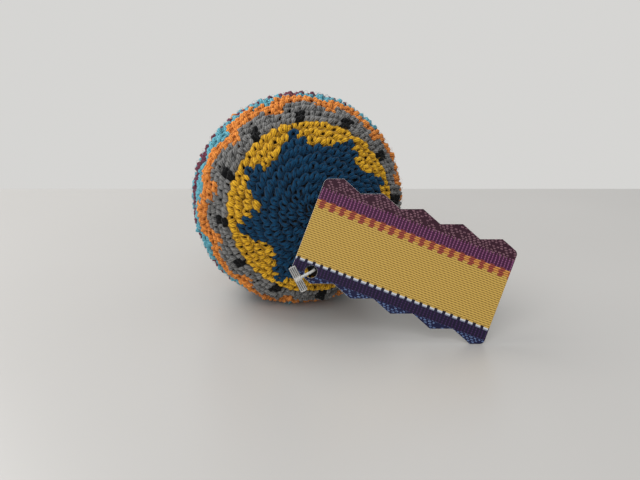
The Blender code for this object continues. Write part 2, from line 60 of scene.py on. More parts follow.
CAMERA_LENS = 39.375
CAMERA_SENSOR = 36.0
TABLE_WIDTH = 3.2
TABLE_DEPTH = 2.0
TABLE_END = 0.331
TABLE_COLORS = ((0.45, 0.437, 0.42, 1.0), (0.49, 0.477, 0.46, 1.0))
ROOM_COLOR = (0.48, 0.49, 0.50, 1.0)
WALL_COLOR = (0.67, 0.665, 0.65, 1.0)
LIT_PLACE = (0.0, 0.0, 0.02)
WINDOW_PLACE = (-0.34, 0.30, 0.52)
WINDOW_SIZE = 0.5
WINDOW_POWER = 3.4
WINDOW_COLOR = (1.0, 0.985, 0.96)
FRONT_PLACE = (-0.30, -0.62, 0.46)
FRONT_SIZE = 0.7
FRONT_POWER = 4.6
FRONT_COLOR = (0.97, 0.985, 1.0)


class Paint:
    """A socket of a material. Sums on it add Math nodes, and node() adds any other node."""

    def __init__(self, tree, socket=None):
        self.tree = tree
        self.socket = socket

    def node(self, kind, settings=None, sockets=None, output=0):
        """Add a node: its settings first, then values or links of its sockets. Give one output."""
        made = self.tree.nodes.new("ShaderNode" + kind)
        for name, value in (settings or {}).items():
            setattr(made, name, value)
        for name, value in (sockets or {}).items():
            if isinstance(value, Paint):
                self.tree.links.new(value.socket, made.inputs[name])
            else:
                made.inputs[name].default_value = value
        return Paint(self.tree, made.outputs[output])

    def math(self, operation, first, second=0.0):
        return self.node("Math", {"operation": operation}, {0: first, 1: second})

    def __add__(self, other):
        return self.math("ADD", self, other)

    def __sub__(self, other):
        return self.math("SUBTRACT", self, other)

    def __rsub__(self, other):
        return self.math("SUBTRACT", other, self)

    def __mul__(self, other):
        return self.math("MULTIPLY", self, other)

    def __truediv__(self, other):
        return self.math("DIVIDE", self, other)

    def __rtruediv__(self, other):
        return self.math("DIVIDE", other, self)

    __radd__ = __add__
    __rmul__ = __mul__

    def __gt__(self, other):
        return self.math("GREATER_THAN", self, other)

    def __lt__(self, other):
        return self.math("LESS_THAN", self, other)

    def wave(self):
        """Zero to one and back, once for each whole number on the socket."""
        return self.math("SINE", self * math.tau) * 0.5 + 0.5

    def remainder(self):
        return self.math("FRACT", self)

    def whole(self):
        return self.math("FLOOR", self)

    def part(self, axis):
        """The X, Y or Z of a vector."""
        return self.node("SeparateXYZ", None, {0: self}, axis)

    def tint(self, plain, marked):
        """A colour: plain where the socket is zero, marked where it is one.

        A Mix node takes its colours at sockets 6 and 7 and gives the mixed one at output 2.
        """
        return self.node("Mix", {"data_type": "RGBA"}, {0: self, 6: plain, 7: marked}, 2)


def new_finish(name):
    """An empty Principled material, and the Paint that adds nodes to it."""
    finish = bpy.data.materials.new(name)
    finish.use_nodes = True
    return finish, Paint(finish.node_tree)


def set_shader(owner, sockets, shader="Principled BSDF"):
    """Set or link sockets of the shader of a material or of the world."""
    tree = owner.node_tree
    for name, value in sockets.items():
        if isinstance(value, Paint):
            tree.links.new(value.socket, tree.nodes[shader].inputs[name])
        else:
            tree.nodes[shader].inputs[name].default_value = value


def make_mesh(name, points, faces, finish):
    """A smooth piece from an array of points and an array of four-sided faces."""
    mesh = bpy.data.meshes.new(name)
    mesh.vertices.add(len(points))
    mesh.vertices.foreach_set("co", np.asarray(points, np.float32).ravel())
    mesh.loops.add(faces.size)
    mesh.loops.foreach_set("vertex_index", faces.astype(np.int32).ravel())
    mesh.polygons.add(len(faces))
    mesh.polygons.foreach_set("loop_start", np.arange(0, faces.size, 4, dtype=np.int32))
    mesh.update(calc_edges=True)
    mesh.shade_smooth()
    mesh.materials.append(finish)
    piece = bpy.data.objects.new(name, mesh)
    bpy.context.scene.collection.objects.link(piece)
    return piece


def add_lamp(name, place, size, power, color):
    """A square soft lamp that looks at the bag's foot."""
    lamp = bpy.data.lights.new(name, "AREA")
    lamp.size = size
    lamp.energy = power
    lamp.color = color
    holder = bpy.data.objects.new(name, lamp)
    bpy.context.scene.collection.objects.link(holder)
    holder.location = place
    aim = np.subtract(LIT_PLACE, place)
    holder.rotation_euler = (
        math.atan2(math.hypot(aim[0], aim[1]), -aim[2]), 0.0, math.atan2(-aim[0], aim[1]))


camera_data = bpy.data.cameras.new("camera")
camera_data.lens = CAMERA_LENS
camera_data.sensor_width = CAMERA_SENSOR
camera = bpy.data.objects.new("camera", camera_data)
bpy.context.scene.collection.objects.link(camera)
camera.location = CAMERA_PLACE
camera.rotation_euler = (math.radians(90.0) + CAMERA_PITCH, 0.0, -CAMERA_YAW)
bpy.context.scene.camera = camera
bpy.context.scene.view_settings.view_transform = "Standard"

view_way = np.array((math.sin(CAMERA_YAW), math.cos(CAMERA_YAW), 0.0))
edge_way = np.array((math.cos(CAMERA_YAW), -math.sin(CAMERA_YAW), 0.0))
under_camera = np.array((CAMERA_PLACE[0], CAMERA_PLACE[1], 0.0))
table_corners = np.array([
    under_camera + view_way * ahead + edge_way * beside * 0.5 * TABLE_WIDTH
    for ahead, beside in ((TABLE_END - TABLE_DEPTH, -1.0), (TABLE_END - TABLE_DEPTH, 1.0),
                          (TABLE_END, 1.0), (TABLE_END, -1.0))
])
table_finish, paint = new_finish("table_top")
spot = paint.node("TexCoord", output="Object")
haze = paint.node("TexNoise", None, {"Vector": spot, "Scale": 9.0, "Detail": 3.0})
set_shader(table_finish, {
    "Base Color": haze.tint(*TABLE_COLORS),
    "Roughness": 0.34,
    "Specular IOR Level": 0.45,
})
table_top = make_mesh("table_top", table_corners, np.array([(0, 1, 2, 3)]), table_finish)

world = bpy.data.worlds.new("room")
bpy.context.scene.world = world
world.use_nodes = True
paint = Paint(world.node_tree)
seen = paint.node("LightPath", output="Is Camera Ray")
for way in ("Is Glossy Ray", "Is Transmission Ray"):
    seen = seen.math("MAXIMUM", seen, paint.node("LightPath", output=way))
set_shader(world, {"Color": seen.tint(ROOM_COLOR, WALL_COLOR), "Strength": 1.0}, "Background")
add_lamp("window", WINDOW_PLACE, WINDOW_SIZE, WINDOW_POWER, WINDOW_COLOR)
add_lamp("room_front", FRONT_PLACE, FRONT_SIZE, FRONT_POWER, FRONT_COLOR)

# Cover
# The cover is single crochet in plied cotton, worked in rounds from the front pole to the back
# pole. Each stitch shows as an arch of yarn, whose legs run in under the arch of the round before,
# and beside it the post of the stitch shows as a thinner loop that lies deeper.
MM = 0.001
BAG_RADIUS = 28.5 * MM
BAG_HALF_DEPTH = 26.0 * MM
BAG_SQUARENESS = 2.3
BAG_TILT = math.radians(4.0)
PROFILE_SAMPLES = 6000
REST_PRESS = 1.5 * MM
SETTLE_HEIGHT = 1.6 * MM
LUMP_HEIGHT = 0.22 * MM
TABLE_GAP = 0.02 * MM
ROUNDS = 40
ROUND_SPREAD = 0.09
UPRIGHT_SPREAD = 0.07
SIDE_SPREAD = 0.05
CAP_COUNTS = (6, 12, 18, 24, 30, 36, 42, 48, 48, 48)
BAND_COUNT = 59
CAP_START = math.radians(0.5)
BAND_START = math.radians(-0.6)
STITCH_DRIFT = 1.0 / 6.0
GOLDEN_ANGLE = math.pi * (3.0 - math.sqrt(5.0))
CHART_COLUMNS = 48
STAR_TIPS = (2, 7, 13, 19, 25, 32, 38, 44)
STAR_TIP_ROUND = 9
STAR_TIP_HALF_WIDTH = 0.6
PLAIN_ROUNDS = 6
BAR_MIDDLE_ROUND = 11.5
BLACK_BARS = 12
BAND_CHART = (
    "bgggg", "bgggg", "ggogg", "ggoog", "ooooo", "ootoo", "ootto", "ttttt", "mtttt", "mmmmm",
)
YARN_LETTERS = {"b": "black", "g": "grey", "o": "orange", "t": "turquoise", "m": "maroon"}
# Each yarn runs from a dark colour to a light one. The dark end is partly the yarn's uneven dye and
# partly painted shade, for its ply grooves, recesses and undersides.
YARN_COLORS = {
    "navy": ((0.0015, 0.012, 0.032, 1.0), (0.005, 0.052, 0.120, 1.0)),
    "gold": ((0.150, 0.055, 0.001, 1.0), (0.780, 0.430, 0.025, 1.0)),
    "grey": ((0.022, 0.021, 0.021, 1.0), (0.235, 0.230, 0.222, 1.0)),
    "black": ((0.0010, 0.0010, 0.0012, 1.0), (0.0045, 0.0045, 0.005, 1.0)),
    "orange": ((0.240, 0.040, 0.003, 1.0), (0.860, 0.310, 0.060, 1.0)),
    "turquoise": ((0.015, 0.110, 0.160, 1.0), (0.150, 0.450, 0.540, 1.0)),
    "maroon": ((0.060, 0.008, 0.018, 1.0), (0.170, 0.040, 0.070, 1.0)),
}
YARN_AREAS = (
    "navy_front", "navy_back", "gold_front", "gold_back", "grey_front", "grey_back",
    "orange_front", "orange_back", "turquoise_front", "turquoise_back", "maroon_middle",
    "black_front", "black_back",
)
AREA_ROUNDS = {"front": (1, ROUNDS // 2), "back": (ROUNDS // 2 + 1, ROUNDS), "middle": (1, ROUNDS)}

YARN_WIDTH = 1.14 * MM
YARN_CROWDING = 0.435
YARN_FLATNESS = 0.88
PLY_TURN = 5.5 * MM
PLY_GROOVE = 0.26 * MM
PLIES_ROUND = 6.0
THREADS_ROUND = 13.0
THREAD_TURNS = 3.0
STRAND_SWELL = 0.22
STRAND_WAVE = 0.13 * MM
STITCH_DEPTH = 0.78 * MM
STITCH_LEAN = 0.32
BLACK_RISE = 0.22 * MM
ARCH_POINTS = 12
ARCH_SIDES = 5
ARCH_CREST = 0.2
ARCH_OVERHANG = -0.25 * MM
SHOULDERS = 0.7
HEAD_DIP = 0.45 * MM
FOOT_DIP = 0.8 * MM
LEG_GAP = 0.59
LEG_TUCK = -0.2 * MM
LEG_CROSSING = 0.17 * MM
POST_ASIDE = 0.5
POST_BACK = 0.2
POST_NARROWING = 0.72
POST_THINNING = 0.28
POST_DEPTH = 0.32 * MM
WIDTH_UNEVEN = 0.09
REACH_UNEVEN = 0.05
GAP_UNEVEN = 0.07
LEAN_UNEVEN = 0.22
OUT_UNEVEN = 0.18 * MM
ACROSS_UNEVEN = 0.12 * MM
HEIGHT_UNEVEN = 0.12 * MM
FOOT_SHADE = 0.6
HEAD_SHADE = 0.3
NECK_SHADE = 0.3
POST_SHADE = 0.3
UNDERSIDE_SHADE = 0.3
FIBRE_POINTS = 8
FIBRE_SIDES = 3
FIBRE_WIDTH = 0.035 * MM
FIBRE_SPANS = (0.3 * MM, 0.9 * MM)
FIBRE_RISES = (0.2 * MM, 0.75 * MM)
FIBRE_SEAT = 0.25 * MM
FIBRE_SCATTER = 0.35
FIBRE_MAP_STEP = 0.3
PARTING = 1.9 * MM
PARTING_REACH = 2.7 * MM
PARTING_ANGLES = (-6.0, 0.0, 46.0, 54.0)

swing = next(joint for joint in frame["joints"] if joint["name"] == "pin_swing")
spin = next(joint for joint in frame["joints"] if joint["name"] == "tag_spin")
BAR_PLACE = np.array(swing["pos_m"])
BAR_WAY = np.array(swing["axis"]) / np.linalg.norm(swing["axis"])
TAG_OUT = np.array(spin["axis"]) / np.linalg.norm(spin["axis"])
TAG_UP = np.cross(TAG_OUT, BAR_WAY)


def bag_profile():
    """Half a superellipse from front pole to back pole: radius, height and length run."""
    sweep = np.linspace(0.0, math.pi, PROFILE_SAMPLES)
    share = 2.0 / BAG_SQUARENESS
    radius = BAG_RADIUS * np.sin(sweep).clip(0.0) ** share
    along = BAG_HALF_DEPTH * np.sign(np.cos(sweep)) * np.abs(np.cos(sweep)) ** share
    run = np.concatenate(([0.0], np.cumsum(np.hypot(np.diff(radius), np.diff(along)))))
    return radius, along, run


PROFILE_RADIUS, PROFILE_ALONG, PROFILE_RUN = bag_profile()
ROUND_PITCH = PROFILE_RUN[-1] / ROUNDS


def length_run(rounds, turn):
    """Length from the front pole after some rounds.

    Rounds lie wider apart towards the poles, by a sine over the rounds: most of all above and below
    a pole, and more on the right of it than on the left.
    """
    spread = ROUND_SPREAD + UPRIGHT_SPREAD * np.sin(turn) ** 2 + SIDE_SPREAD * np.cos(turn)
    return ROUND_PITCH * (rounds + spread * ROUNDS / math.tau * np.sin(math.tau * rounds / ROUNDS))


def bag_centre():
    """The bag stands pressed a little flat, with its widest round over the origin."""
    dual = BAG_SQUARENESS / (BAG_SQUARENESS - 1.0)
    across = BAG_RADIUS * math.cos(BAG_TILT)
    along = BAG_HALF_DEPTH * math.sin(BAG_TILT)
    reach = (across ** dual + along ** dual) ** (1.0 / dual)
    return np.array((0.0, BAG_RADIUS * math.sin(BAG_TILT), reach - REST_PRESS))


BAG_CENTRE = bag_centre()


def tilted(vectors):
    """Vectors of the bag's own frame in the world: the front pole is tipped up a little."""
    x, y, z = vectors[..., 0], vectors[..., 1], vectors[..., 2]
    cosine, sine = math.cos(BAG_TILT), math.sin(BAG_TILT)
    return np.stack((x, y * cosine + z * sine, z * cosine - y * sine), -1)


def on_cover(rounds, turn, across, height):
    """Points some rounds from the front pole and at a turn, then across and off the surface.

    The superellipse gives radius, place along the axis and normal. Two slow sine waves over turn
    and rounds make it lumpy between the poles. Whatever would lie lower than the settle height is
    squeezed towards the table by an exponential.
    """
    run = length_run(rounds, turn)
    radius = np.interp(run, PROFILE_RUN, PROFILE_RADIUS)
    along = np.interp(run, PROFILE_RUN, PROFILE_ALONG)
    power = BAG_SQUARENESS - 1.0
    outward = (radius / BAG_RADIUS) ** power / BAG_RADIUS
    forward = np.sign(along) * (np.abs(along) / BAG_HALF_DEPTH) ** power / BAG_HALF_DEPTH
    size = np.hypot(outward, forward)
    ray = np.stack((np.cos(turn), np.zeros_like(turn), np.sin(turn)), -1)
    side = np.stack((-np.sin(turn), np.zeros_like(turn), np.cos(turn)), -1)
    front = np.array((0.0, -1.0, 0.0))
    lift = (ray * outward[..., None] + front * forward[..., None]) / size[..., None]
    lump = LUMP_HEIGHT * (np.sin(2.0 * turn + 0.31 * rounds) + np.sin(5.0 * turn - 0.9 * rounds))
    local = ray * radius[..., None] + front * along[..., None] + side * across[..., None]
    local = local + lift * (height + lump * np.sin(np.pi * rounds / ROUNDS))[..., None]
    points = tilted(local) + BAG_CENTRE
    low = points[..., 2] < SETTLE_HEIGHT
    squeezed = SETTLE_HEIGHT * np.exp(np.minimum(points[..., 2] / SETTLE_HEIGHT, 1.0) - 1.0)
    points[..., 2] = np.where(low, squeezed, points[..., 2])
    return points, tilted(lift)


def stitch_table():
    """Every stitch of the cover: its round, turn, stitches in the round and yarn, after the chart.

    Each round stands a share of a stitch further on, as rounds worked in a spiral do, counted from
    the star's tips in a cap and from the black bars elsewhere. In the plain middle the rounds are
    turned by the golden angle, which spreads the added stitches.
    """
    rows = []
    for number in range(1, ROUNDS + 1):
        from_pole = min(number, ROUNDS + 1 - number)
        in_cap = from_pole <= len(CAP_COUNTS)
        count = CAP_COUNTS[from_pole - 1] if in_cap else BAND_COUNT
        first = STAR_TIP_ROUND if in_cap else BAR_MIDDLE_ROUND
        start = CAP_START if in_cap else BAND_START
        if from_pole <= PLAIN_ROUNDS:
            start = GOLDEN_ANGLE * number
        for stitch in range(count):
            turn = start + math.tau * (stitch + 0.5 - STITCH_DRIFT * (number - first)) / count
            rows.append((number, turn, count, stitch_yarn(from_pole, turn)))
    return rows


def stitch_yarn(from_pole, turn):
    """The star narrows by a column each side in every round; the bands repeat every five."""
    if from_pole > len(CAP_COUNTS):
        row = BAND_CHART[from_pole - len(CAP_COUNTS) - 1]
        cell = int((turn - BAND_START) / math.tau * BAND_COUNT % BAND_COUNT)
        return YARN_LETTERS[row[-1] if cell == BAND_COUNT - 1 else row[cell % len(row)]]
    column = (turn - CAP_START) / math.tau * CHART_COLUMNS % CHART_COLUMNS - 0.5
    gaps = [abs(column - tip) for tip in STAR_TIPS]
    nearest = min(min(gap, CHART_COLUMNS - gap) for gap in gaps)
    in_point = nearest < STAR_TIP_ROUND - from_pole + STAR_TIP_HALF_WIDTH
    return "navy" if from_pole <= PLAIN_ROUNDS or in_point else "gold"


def stood_aside(number, turn):
    """How far the tag pin's filament parts each stitch from its way, and which side it goes to.

    The share is one beside the filament's path and falls off exponentially with the distance from
    the plane it swings in. It fades in and out at the two ends of the swing, whose angles are in
    degrees.
    """
    spot, _ = on_cover(number - 0.5, turn, 0.0 * turn, 0.0 * turn)
    away = spot - BAR_PLACE
    beside = away @ BAR_WAY
    angle = np.degrees(np.arctan2(-(away @ TAG_UP), away @ TAG_OUT))
    in_swing = np.interp(angle, PARTING_ANGLES, (0.0, 1.0, 1.0, 0.0))
    return in_swing * np.exp(-np.abs(beside) / PARTING_REACH), np.sign(beside)


def tube_rings(path, lift, width, height, sides):
    """Rings of points square to each of many closed paths, wide across and high along the lift."""
    ahead = np.roll(path, -1, 1) - np.roll(path, 1, 1)
    ahead /= np.linalg.norm(ahead, axis=-1, keepdims=True)
    across = np.cross(ahead, lift)
    across /= np.linalg.norm(across, axis=-1, keepdims=True)
    over = np.cross(across, ahead)
    angle = math.tau * np.arange(sides) / sides
    spread = across[:, :, None] * np.cos(angle)[:, None] * width[:, :, None, None]
    rise = over[:, :, None] * np.sin(angle)[:, None] * height[:, :, None, None]
    return path[:, :, None] + 0.5 * (spread + rise)


def tube_faces(tubes, rings, sides):
    """Faces of many closed tubes, and for each corner its ring number and side number."""
    tube, ring, side = np.meshgrid(
        np.arange(tubes), np.arange(rings), np.arange(sides), indexing="ij")
    corners = [(ring, side), (ring + 1, side), (ring + 1, side + 1), (ring, side + 1)]
    faces = [(tube * rings + along % rings) * sides + around % sides for along, around in corners]
    marks = [np.stack(corner, -1) for corner in corners]
    return np.stack(faces, -1).reshape(-1, 4), np.stack(marks, -2).reshape(-1, 2)


def mean_step(path):
    """The mean distance between the points of closed paths."""
    return np.linalg.norm(np.roll(path, -1, 1) - path, axis=-1).mean()


def strand_map(marks, step, sides):
    """For each corner, how many turns of the plies along and what share of the way round it lies."""
    return np.stack((marks[:, 0] * step / PLY_TURN, marks[:, 1] / sides), -1)


def add_values(piece, name, values):
    """Store one number for each point of the piece."""
    layer = piece.data.attributes.new(name, "FLOAT", "POINT")
    layer.data.foreach_set("value", values.astype(np.float32))


def map_yarn(piece, plan, painted_shade, shade):
    """Store what the yarn's finish reads: the strand's map, its painted shade, and its dye."""
    layer = piece.data.uv_layers.new(name="strand")
    layer.data.foreach_set("uv", plan.astype(np.float32).ravel())
    add_values(piece, "painted_shade", painted_shade)
    add_values(piece, "shade", shade)


def loose_fibres(chance, number, turn, room_across, nudge):
    """Rings of a thin closed loop beside each stitch, an oval that stands half out of the cover.

    A point lies span cos(s) from the oval's middle, in a random direction on the surface, and
    rise sin(s) off it.
    """
    one_each = (len(number), 1)
    sweep = math.tau * np.arange(FIBRE_POINTS)[None, :] / FIBRE_POINTS
    span = chance.uniform(*FIBRE_SPANS, one_each)
    rise = chance.uniform(*FIBRE_RISES, one_each)
    way = chance.uniform(0.0, math.tau, one_each)
    side = FIBRE_SCATTER * room_across * chance.uniform(-1.0, 1.0, one_each) + nudge
    spot = number - 0.5 + FIBRE_SCATTER * chance.uniform(-1.0, 1.0, one_each)
    path, _ = on_cover(
        (spot + span * np.cos(sweep) * np.sin(way) / ROUND_PITCH).clip(0.0, ROUNDS),
        turn + 0.0 * sweep, side + span * np.cos(sweep) * np.cos(way),
        rise * np.sin(sweep) - FIBRE_SEAT)
    quarter, half = path[:, FIBRE_POINTS // 4], path[:, FIBRE_POINTS // 2]
    plane = np.cross(quarter - path[:, 0], half - path[:, 0])[:, None]
    size = np.full(path.shape[:2], FIBRE_WIDTH)
    return tube_rings(path, plane, size, size, FIBRE_SIDES)


def crochet_arches(name, stitches, finish, seed, proud, aside):
    """One yarn's stitches: an arch and a post for each, and a loose fibre.

    A stitch is a squarish loop: the way out and the way across are -cos(s) and sin(s), each to a
    power with its sign kept, and it leans by a share of the way out. It is highest a little out of
    its middle and sinks with the square of the way from there, a little to the head and more to
    the foot, which runs in under the round before. The strand swells and rises by cos(4s), once at
    the head, once at the foot and once in each leg, and one leg lies higher by sin(s). A post is
    the same loop, narrower, thinner, deeper and some way aside. Stitches beside the tag pin's
    filament stand aside and upright.
    """
    chance = np.random.default_rng(seed)
    arches = len(stitches)
    count = 2 * arches

    def uneven(middle, spread):
        """A random number for each loop."""
        return chance.normal(middle, spread, (count, 1))

    post = np.repeat((0.0, 1.0), arches)[:, None]
    in_round = np.array([row[2] for row in stitches] * 2, float)[:, None]
    number = np.array([row[0] for row in stitches] * 2)[:, None] - POST_BACK * post
    turn = np.array([row[1] for row in stitches] * 2)[:, None] + aside * post * math.tau / in_round
    middle_radius = np.interp(length_run(number - 0.5, turn), PROFILE_RUN, PROFILE_RADIUS)
    room_across = math.tau * middle_radius / in_round
    width = np.minimum(YARN_WIDTH, YARN_CROWDING * room_across) * uneven(1.0, WIDTH_UNEVEN)
    width = width * (1.0 - POST_THINNING * post)

    sweep = math.tau * np.arange(ARCH_POINTS)[None, :] / ARCH_POINTS
    bulge = np.sign(np.sin(sweep)) * np.abs(np.sin(sweep)) ** SHOULDERS
    reach = -np.sign(np.cos(sweep)) * np.abs(np.cos(sweep)) ** SHOULDERS
    reach = reach * uneven(1.0, REACH_UNEVEN)
    half_across = 0.5 * room_across * uneven(LEG_GAP, GAP_UNEVEN)
    half_across = half_across * (1.0 - POST_NARROWING * post)
    half_out = 0.5 * (ROUND_PITCH + ARCH_OVERHANG + LEG_TUCK)
    out = half_out * reach + 0.5 * (ARCH_OVERHANG - LEG_TUCK)
    out = out + uneven(0.0, OUT_UNEVEN)
    parted, flank = stood_aside(number, turn)
    nudge = PARTING * parted * flank
    lean = 0.5 * room_across * (STITCH_LEAN + uneven(0.0, LEAN_UNEVEN)) * (1.0 - parted)
    across = half_across * bulge - lean * reach + uneven(0.0, ACROSS_UNEVEN) + nudge
    dip = np.where(reach < ARCH_CREST, ((ARCH_CREST - reach) / (1.0 + ARCH_CREST)) ** 2, 0.0)
    bow = np.where(reach > ARCH_CREST, ((reach - ARCH_CREST) / (1.0 - ARCH_CREST)) ** 2, 0.0)
    height = -STITCH_DEPTH - FOOT_DIP * dip - HEAD_DIP * bow - POST_DEPTH * post
    height = height + proud + uneven(0.0, HEIGHT_UNEVEN)
    height = height + LEG_CROSSING * uneven(0.0, 1.0) * np.sin(sweep)
    height = height + STRAND_WAVE * np.cos(4.0 * sweep)
    rounds = number - 0.5 + out / ROUND_PITCH
    path, lift = on_cover(rounds.clip(0.0, ROUNDS), turn + 0.0 * rounds, across, height)
    thick = width * (1.0 + STRAND_SWELL * np.cos(4.0 * sweep))
    rings = tube_rings(path, lift, thick, YARN_FLATNESS * thick, ARCH_SIDES)
    faces, marks = tube_faces(count, ARCH_POINTS, ARCH_SIDES)
    hair = loose_fibres(
        chance, number[:arches], turn[:arches], room_across[:arches], nudge[:arches])
    hair_faces, hair_marks = tube_faces(arches, FIBRE_POINTS, FIBRE_SIDES)
    points = np.concatenate((rings.reshape(-1, 3), hair.reshape(-1, 3)))
    points[:, 2] = np.maximum(points[:, 2], TABLE_GAP)
    piece = make_mesh(name, points, np.concatenate((faces, hair_faces + rings.size // 3)), finish)

    plan = strand_map(marks, mean_step(path), ARCH_SIDES)
    angle = math.tau * np.arange(ARCH_SIDES) / ARCH_SIDES
    # Painted shade: each strand is darkened towards its foot and head, at the necks between its grains,
    # on the posts, and on its underside and flanks.
    neck = 0.5 - 0.5 * np.cos(4.0 * sweep)
    depth = FOOT_SHADE * dip + HEAD_SHADE * bow + NECK_SHADE * neck + POST_SHADE * post
    painted_shade = depth[:, :, None] + UNDERSIDE_SHADE - UNDERSIDE_SHADE * np.sin(angle)
    tones = np.repeat(chance.random(count), ARCH_POINTS * ARCH_SIDES)
    hair_count = hair.size // 3
    map_yarn(piece, np.concatenate((plan, FIBRE_MAP_STEP * hair_marks)),
             np.concatenate((painted_shade.ravel(), np.zeros(hair_count))),
             np.concatenate((tones, np.ones(hair_count))))
    return piece


def yarn_finish(name, dark, light):
    """Plied cotton: helical grooves between the plies, fine fibres along them and uneven dye. Its
    colour also carries painted shade, darker in the grooves between plies and threads and in the
    recesses and undersides whose painted shade the points store.
    """
    finish, paint = new_finish(name + "_yarn")
    strand = paint.node("UVMap", {"uv_map": "strand"})
    along = strand.part("X")
    around = strand.part("Y")
    turns = (along + around * PLIES_ROUND).wave()
    ply = turns.math("POWER", turns, 0.5)
    threads = (along * THREAD_TURNS + around * THREADS_ROUND).wave()
    place = paint.node("TexCoord", output="Object")
    fibre = paint.node("TexNoise", None, {"Vector": place, "Scale": 2600.0, "Detail": 3.0})
    cloud = paint.node("TexNoise", None, {"Vector": place, "Scale": 210.0, "Detail": 2.0})
    shade = paint.node("Attribute", {"attribute_name": "shade"}, output="Fac")
    painted_shade = paint.node("Attribute", {"attribute_name": "painted_shade"}, output="Fac")
    # Painted shade: the colour is darkened in the grooves between the plies and threads and by the
    # painted shade the points store; the fibre and cloud noise and each stitch's tone are uneven dye.
    tone = ply * 0.66 + threads * 0.12 + fibre * 0.44 + cloud * 0.24 + shade * 0.24 - painted_shade * 0.78 + 0.02
    relief = ply * 0.6 + threads * 0.2 + fibre * 0.4
    bump = paint.node("Bump", None, {"Strength": 0.8, "Distance": PLY_GROOVE, "Height": relief})
    set_shader(finish, {
        "Base Color": tone.tint(dark, light),
        "Roughness": 0.92,
        "Specular IOR Level": 0.12,
        "Sheen Weight": 0.06,
        "Sheen Roughness": 0.5,
        "Normal": bump,
    })
    return finish


yarn_finishes = {yarn: yarn_finish(yarn, *pair) for yarn, pair in YARN_COLORS.items()}
all_stitches = stitch_table()
for seed, area in enumerate(YARN_AREAS, start=11):
    yarn, half = area.split("_")
    first, last = AREA_ROUNDS[half]
    chosen = [row for row in all_stitches if row[3] == yarn and first <= row[0] <= last]
    proud, aside = (BLACK_RISE, 0.0) if yarn == "black" else (0.0, POST_ASIDE)
    piece = crochet_arches(
        yarn + "_stitches_" + half, chosen, yarn_finishes[yarn], seed, proud, aside)
    nodes = [yarn + "_yarn_" + half]
    if yarn == "black":
        nodes = ["%s_%02d" % (nodes[0], bar) for bar in range(1, BLACK_BARS + 1)]
    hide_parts(*nodes)
    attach(piece, "bag")

# Carried yarns
# The yarns that are not in use run along inside the stitches. They close the cover behind the
# arches. Their layer is coloured near black for all of them, partly their own dark colours and
# partly painted shade, so that it shows as darkness between the legs; the gold shows as a loop
# beside a tip of the star.
CARRIED_DEPTH = 2.1 * MM
SPECK_ROUND = 7.95
SPECK_OFFSET = 1.3
SPECK_WIDTH = 0.55 * MM
SPECK_SPAN = 0.5 * MM
SPECK_RISE = 0.62 * MM
CARRIED_SIDES = 118
CARRIED_RINGS = 80
CARRIED_GROOVE = 0.3 * MM
SPECK_SEED = 31
SPECK_SCATTER = 0.25
SPECK_SEAT = 1.1
MERGE_GAP = 0.001 * MM


def grid_faces(rings, sides):
    """Faces between rings of points, each joined to the next and closed round its sides."""
    ring, side = np.meshgrid(np.arange(rings - 1), np.arange(sides), indexing="ij")
    after = (side + 1) % sides
    return np.stack((ring * sides + side, ring * sides + after,
                     (ring + 1) * sides + after, (ring + 1) * sides + side), -1).reshape(-1, 4)


def closed_shell(name, depth, rings, sides, finish):
    """The bag's surface set in by a depth: a grid of rounds by turns, drawn to a point at the poles."""
    rounds, turn = np.meshgrid(
        np.linspace(0.0, ROUNDS, rings + 1), math.tau * np.arange(sides) / sides, indexing="ij")
    points, _ = on_cover(rounds, turn, 0.0 * turn, -depth + 0.0 * turn)
    shell = make_mesh(name, points.reshape(-1, 3), grid_faces(rings + 1, sides), finish)
    shape = bmesh.new()
    shape.from_mesh(shell.data)
    bmesh.ops.remove_doubles(shape, verts=shape.verts, dist=MERGE_GAP)
    bmesh.ops.recalc_face_normals(shape, faces=shape.faces)
    shape.to_mesh(shell.data)
    shape.free()
    return shell


carried_yarn_shade_finish, paint = new_finish("carried_yarn_and_shade")
place = paint.node("TexCoord", output="Object")
strands = paint.node("TexNoise", None, {"Vector": place, "Scale": 700.0, "Detail": 4.0})
bump = paint.node("Bump", None, {"Strength": 0.8, "Distance": CARRIED_GROOVE, "Height": strands})
# Painted shade: near black with a little brown, darker than most of the yarns it stands for.
set_shader(carried_yarn_shade_finish, {
    "Base Color": strands.tint((0.004, 0.004, 0.006, 1.0), (0.035, 0.028, 0.022, 1.0)),
    "Roughness": 0.95,
    "Specular IOR Level": 0.1,
    "Normal": bump,
})
carried_yarns = closed_shell(
    "carried_yarns", CARRIED_DEPTH, CARRIED_RINGS, CARRIED_SIDES, carried_yarn_shade_finish)
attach(carried_yarns, "bag")


